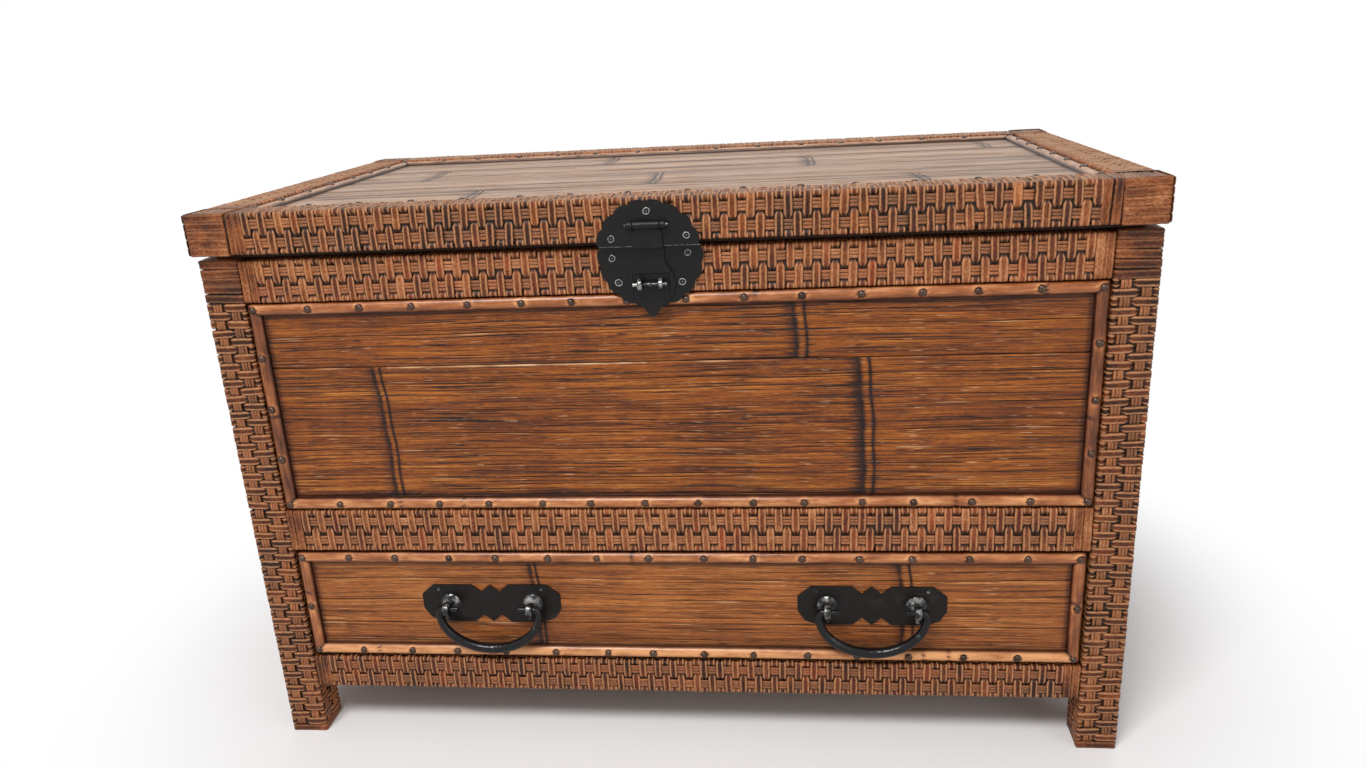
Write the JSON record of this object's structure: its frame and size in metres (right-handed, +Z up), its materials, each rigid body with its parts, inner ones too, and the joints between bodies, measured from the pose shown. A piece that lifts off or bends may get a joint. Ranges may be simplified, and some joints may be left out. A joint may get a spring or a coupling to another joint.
{
  "type": "storage chest",
  "caption": "Low chest wrapped in woven cane with split-bamboo panels, a hinged lid closed by a round iron hasp plate, and a wide drawer with swinging handles.",
  "frame": {"origin": "on the floor, under the middle of the whole chest's box", "axes": "+X to the chest's right as seen from the front, along its length; +Y from front to back; +Z up. The front with the lock and the drawer faces -Y."},
  "size_m": [0.76, 0.4408, 0.497],
  "materials": {
    "woven_cane": "split cane strands woven over two warps, stained brown, semi-gloss varnish",
    "split_bamboo": "flattened split bamboo, stained red-brown, varnished, fine cracks and dark nodes",
    "cane_edging": "half-round cane, stained and varnished, with darker rings",
    "frame_wood": "dark stained softwood core, mostly covered by the weave",
    "plain_wood": "plain light plywood and softwood, matt",
    "black_iron": "black painted iron, satin, slightly hammered",
    "zinc_steel": "zinc-plated steel, slightly dull"
  },
  "bodies": {
    "carcass": {"post_front_left": "frame_wood", "post_front_right": "frame_wood", "post_back_left": "frame_wood", "post_back_right": "frame_wood", "front_top_rail": "frame_wood", "front_middle_rail": "frame_wood", "front_bottom_rail": "frame_wood", "back_top_rail": "frame_wood", "back_bottom_rail": "frame_wood", "left_top_rail": "frame_wood", "left_bottom_rail": "frame_wood", "right_top_rail": "frame_wood", "right_bottom_rail": "frame_wood", "post_wraps": "woven_cane", "front_rail_wraps": "woven_cane", "back_rail_wraps": "woven_cane", "side_rail_wraps": "woven_cane", "front_panel": "split_bamboo", "back_panel": "split_bamboo", "left_panel": "split_bamboo", "right_panel": "split_bamboo", "front_trims": "cane_edging", "back_trims": "cane_edging", "left_trims": "cane_edging", "right_trims": "cane_edging", "chest_floor": "plain_wood", "floor_cleats": "plain_wood", "drawer_runners": "plain_wood", "lock_plate_lower": "black_iron", "lock_staples": "black_iron", "hinge_leaves_body": "zinc_steel", "hinge_pins": "zinc_steel", "stay_body_bracket": "zinc_steel"},
    "lid": {"lid_front_rail": "frame_wood", "lid_back_rail": "frame_wood", "lid_left_rail": "frame_wood", "lid_right_rail": "frame_wood", "lid_wraps": "woven_cane", "lid_panel": "split_bamboo", "lid_trims": "cane_edging", "lid_lining": "plain_wood", "lock_plate_upper": "black_iron", "hasp_pin": "black_iron", "hinge_leaves_lid": "zinc_steel", "stay_lid_bracket": "zinc_steel"},
    "drawer": {"drawer_front": "split_bamboo", "drawer_trims": "cane_edging", "drawer_bottom": "plain_wood", "drawer_side_left": "plain_wood", "drawer_side_right": "plain_wood", "drawer_back": "plain_wood", "handle_plate_left": "black_iron", "handle_plate_right": "black_iron", "handle_eyes_left": "black_iron", "handle_eyes_right": "black_iron"},
    "bail_left": {"bail_left": "black_iron"},
    "bail_right": {"bail_right": "black_iron"},
    "hasp": {"hasp": "black_iron"},
    "lock_pin": {"lock_pin": "black_iron"},
    "stay_arm": {"stay_arm": "zinc_steel"}
  },
  "joints": [
    {"name": "lid_hinge", "type": "hinge", "parent": "carcass", "child": "lid", "pos_m": [0, 0.21695, 0.4595], "axis": [-1, 0, 0], "range_deg": [0, 95]},
    {"name": "stay_pivot", "type": "hinge", "parent": "lid", "child": "stay_arm", "pos_m": [0.33885, 0.10802, 0.44419], "axis": [-1, 0, 0], "range_deg": [-48, 0]},
    {"name": "drawer_slide", "type": "slide", "parent": "carcass", "child": "drawer", "axis": [0, -1, 0], "range_m": [0, 0.28]},
    {"name": "bail_left_swing", "type": "hinge", "parent": "drawer", "child": "bail_left", "pos_m": [-0.1685, -0.21075, 0.138], "axis": [-1, 0, 0], "range_deg": [0, 95]},
    {"name": "bail_right_swing", "type": "hinge", "parent": "drawer", "child": "bail_right", "pos_m": [0.1685, -0.21075, 0.138], "axis": [-1, 0, 0], "range_deg": [0, 95]},
    {"name": "hasp_swing", "type": "hinge", "parent": "lid", "child": "hasp", "pos_m": [-0.0035, -0.21725, 0.476], "axis": [-1, 0, 0], "range_deg": [0, 150]},
    {"name": "lock_pin_slide", "type": "slide", "parent": "carcass", "child": "lock_pin", "axis": [1, 0, 0], "range_m": [0, 0.035]}
  ],
  "couplings": [
    {"joint": "stay_pivot", "follows": "lid_hinge", "ratio": -0.5}
  ]
}
